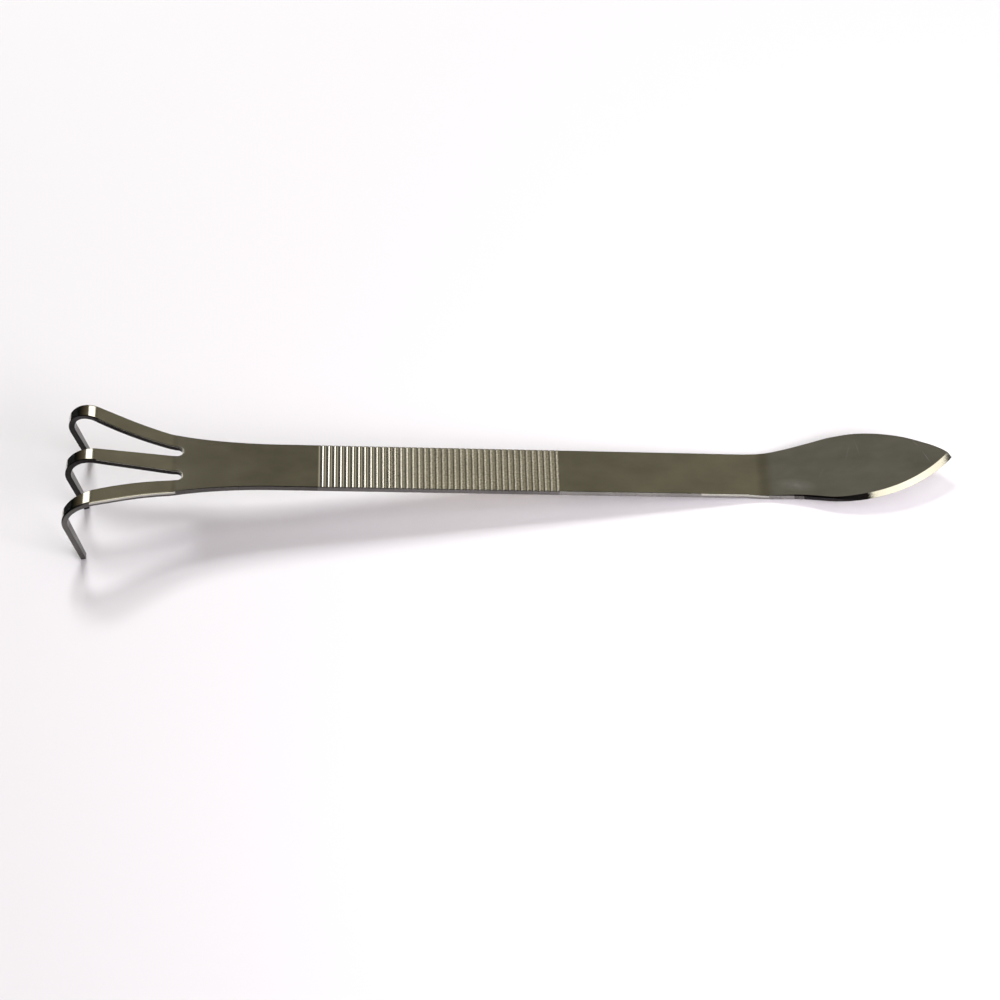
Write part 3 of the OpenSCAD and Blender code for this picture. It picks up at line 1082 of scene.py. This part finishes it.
# pale polished steel: the ground bevel, and a painted highlight on the rims wherever they are
# switched to it
rim_and_highlight_steel = steel("polished_rim_and_painted_highlight", (0.55, 0.54, 0.49), 0.14, 0.05, 30)
# one dark cut edge in three shades: the darker copies on the tines, palm and grip are painted shade
tine_edge_shaded = steel("tine_cut_edge_painted_shade", (0.11, 0.105, 0.1), 0.3, 0.1, 30)
grip_edge_shaded = steel("grip_cut_edge_painted_shade", (0.18, 0.172, 0.165), 0.3, 0.1, 30)
edge_steel = steel("cut_edge", (0.3, 0.29, 0.275), 0.3, 0.1, 30)
# near-black steel: painted shade on the walls and rims between the tines and round the gap ends, and
# a painted dark reflection on the leaf's near rim
painted_dark_steel = steel("painted_dark_shade", (0.022, 0.02, 0.019), 0.3, 0.1, 30)
# dim steel: painted shade under the tines near the hooks and on the floors of the grip's grooves, and
# the start of the leaf rim's painted dark reflection
painted_dim_steel = steel("painted_dim_shade", (0.13, 0.125, 0.117), 0.25, 0.1, 30)
grip_steel = steel(
    "grip_steel_face",
    (0.64, 0.63, 0.61),
    0.1,
    0.12,
    210,
    0.05,
    stretch=(1, 1, 1),
    rougher=(42, 65),
    far_colour=(0.66, 0.62, 0.52),
)

# in the order of the kinds of face
FINISH = [face_steel, edge_steel, rim_and_highlight_steel, painted_dark_steel, painted_dim_steel]
TINE_FINISH = [face_steel, tine_edge_shaded, rim_and_highlight_steel, painted_dark_steel, painted_dim_steel]
GRIP_FINISH = [grip_steel, grip_edge_shaded, rim_and_highlight_steel, painted_dark_steel, painted_dim_steel]

make_piece("Tine_left", tine_solid(1), "left_tine", TINE_FINISH)
make_piece("Tine_middle", tine_solid(0), "middle_tine", TINE_FINISH)
make_piece("Tine_right", tine_solid(-1), "right_tine", TINE_FINISH)
make_piece("Palm", palm_solid(), "rake_palm", TINE_FINISH)
make_piece("Grip_ribbed", grip_solid(), "ribbed_grip", GRIP_FINISH)
make_piece("Shank", shank_solid(), "plain_shank", FINISH)
make_piece("Neck", neck_solid(), "spatula_neck", FINISH)
make_piece("Spatula", blade_solid(), "spatula_blade", FINISH)


# ---------------------------------------------------------------------- stage
def flat_sheet(name, corners, material_name, colour, roughness, shine):
    mesh = bpy.data.meshes.new(name)
    mesh.from_pydata(corners, [], [(0, 1, 2, 3)])
    sheet = bpy.data.objects.new(name, mesh)
    bpy.context.scene.collection.objects.link(sheet)
    material = bpy.data.materials.new(material_name)
    material.use_nodes = True
    shader = material.node_tree.nodes["Principled BSDF"]
    shader.inputs["Base Color"].default_value = (*colour, 1)
    shader.inputs["Roughness"].default_value = roughness
    shader.inputs["Specular IOR Level"].default_value = shine
    mesh.materials.append(material)
    return sheet


FLOOR_HALF = 2.0
floor_corners = [(x * FLOOR_HALF, y * FLOOR_HALF, 0) for x, y in ((-1, -1), (1, -1), (1, 1), (-1, 1))]
floor = flat_sheet("Floor", floor_corners, "pale_paper", (0.86, 0.855, 0.87), 0.9, 0.1)

# a black card that only the reflections see, left of and behind the hooks
CARD_X, CARD_FRONT, CARD_BACK, CARD_TOP = -0.128, -0.07, 0.09, 0.024
card_outline = ((CARD_FRONT, 0), (CARD_BACK, 0), (CARD_BACK, CARD_TOP), (CARD_FRONT, CARD_TOP))
card_corners = [(CARD_X, y, z) for y, z in card_outline]
card = flat_sheet("Black_card", card_corners, "black_card", (0.01, 0.013, 0.014), 1.0, 0.5)
card.visible_camera = card.visible_diffuse = card.visible_shadow = False

# the room that the steel mirrors: colours by how far a direction points along an axis
UPWARDS = (
    (0.2, (0.06, 0.062, 0.058)),
    (0.55, (0.2, 0.187, 0.144)),
    (0.76, (0.23, 0.214, 0.163)),
    (0.86, (0.2, 0.19, 0.16)),
)
SIDEWAYS = (
    (-0.75, (0.05, 0.08, 0.085)),
    (-0.58, (0.4, 0.34, 0.28)),
    (-0.4, (0.75, 0.7, 0.65)),
    (-0.12, (0.98, 1.02, 1.16)),
    (-0.07, (0.93, 0.97, 1.13)),
    (0.0, (0.84, 0.84, 0.85)),
    (0.05, (0.74, 0.73, 0.71)),
    (0.12, (0.8, 0.8, 0.77)),
    (0.2, (1.12, 1.12, 1.08)),
    (0.24, (1.1, 1.1, 1.1)),
    (0.34, (1.06, 1.06, 1.04)),
    (0.42, (2.1, 2.08, 2.0)),
    (0.5, (3.0, 2.95, 2.85)),
    (0.62, (3.1, 3.1, 3.0)),
    (0.76, (1.0, 1.0, 1.0)),
)
BACKWARDS = ((-0.3, (0.35, 0.35, 0.38)), (0.1, (1, 1, 1)))


def make_room():
    world = bpy.data.worlds.new("Room")
    bpy.context.scene.world = world
    world.use_nodes = True
    tree = world.node_tree
    where = tree.nodes.new("ShaderNodeTexCoord")
    split = tree.nodes.new("ShaderNodeSeparateXYZ")
    tree.links.new(where.outputs["Generated"], split.inputs["Vector"])
    total = (1.0, 1.0, 1.0)
    for axis, stops in (("Z", UPWARDS), ("X", SIDEWAYS), ("Y", BACKWARDS)):
        ramp = tree.nodes.new("ShaderNodeValToRGB")
        tree.links.new(remap(tree, split.outputs[axis], (-1, 1), (0, 1)), ramp.inputs["Fac"])
        marks = ramp.color_ramp.elements
        for k, (at, colour) in enumerate(stops):
            mark = marks[k] if k < 2 else marks.new(1.0)
            mark.position = (at + 1) / 2
            mark.color = (*colour, 1)
        product = tree.nodes.new("ShaderNodeVectorMath")
        product.operation = "MULTIPLY"
        feed(tree, product.inputs[0], total)
        feed(tree, product.inputs[1], ramp.outputs["Color"])
        total = product.outputs["Vector"]
    tree.links.new(total, tree.nodes["Background"].inputs["Color"])


make_room()


def area_light(name, place, target, size, watts, colour=(1, 1, 1), diffuse=True, glossy=True):
    data = bpy.data.lights.new(name, "AREA")
    data.shape = "RECTANGLE"
    data.size, data.size_y = size
    data.energy = watts
    data.color = colour
    obj = bpy.data.objects.new(name, data)
    bpy.context.scene.collection.objects.link(obj)
    obj.location = place
    obj.rotation_euler = (Vector(target) - Vector(place)).to_track_quat("-Z", "Y").to_euler()
    obj.visible_diffuse = diffuse
    obj.visible_glossy = glossy


# lights for the floor and its shadow, then two windows that only the steel mirrors
SHADE, DAYLIGHT, LAMPLIGHT = (0.945, 0.89, 0.955), (1, 0.99, 0.95), (1, 0.95, 0.82)
area_light("Key", (-0.3, 0.97, 1.11), (0, 0, 0), (0.45, 0.45), 17.0, glossy=False)
area_light("Front_soft", (0.35, -0.35, 0.25), (0.05, 0, 0), (0.4, 0.25), 2.3, SHADE, glossy=False)
area_light(
    "Blade_soft", (0.16, -0.12, 0.1), (0.13, -0.02, 0), (0.12, 0.12), 0.145, SHADE, glossy=False
)
area_light("Fill_top", (0.25, -0.1, 1.1), (0.05, 0, 0), (0.9, 0.9), 3.0, SHADE, glossy=False)
area_light(
    "Window_back",
    (-0.151, 0.22, 0.274),
    (-0.103, 0, 0.02),
    (0.115, 0.16),
    0.15,
    DAYLIGHT,
    diffuse=False,
)
area_light(
    "Window_front", (0.68, -0.8, 0.5), (0.05, 0, 0), (1.3, 0.55), 4.5, LAMPLIGHT, diffuse=False
)

# --------------------------------------------------------------------- camera
# where the photo was taken from, in metres, and how the camera is turned there
CAMERA_PLACE = (0.01053, -0.54656, 0.6521)
CAMERA_TURN, CAMERA_TILT, CAMERA_ROLL = (math.radians(a) for a in (1.3864, 39.7985, -3.5083))

scene = bpy.context.scene
cam_data = bpy.data.cameras.new("Camera")
cam_data.sensor_width = 36.0
cam_data.lens = 122.14
cam = bpy.data.objects.new("Camera", cam_data)
scene.collection.objects.link(cam)
cam.matrix_world = (
    Matrix.Translation(CAMERA_PLACE)
    @ Matrix.Rotation(CAMERA_TURN, 4, "Z")
    @ Matrix.Rotation(CAMERA_TILT, 4, "X")
    @ Matrix.Rotation(CAMERA_ROLL, 4, "Z")
)
scene.camera = cam
scene.view_settings.view_transform = "Standard"
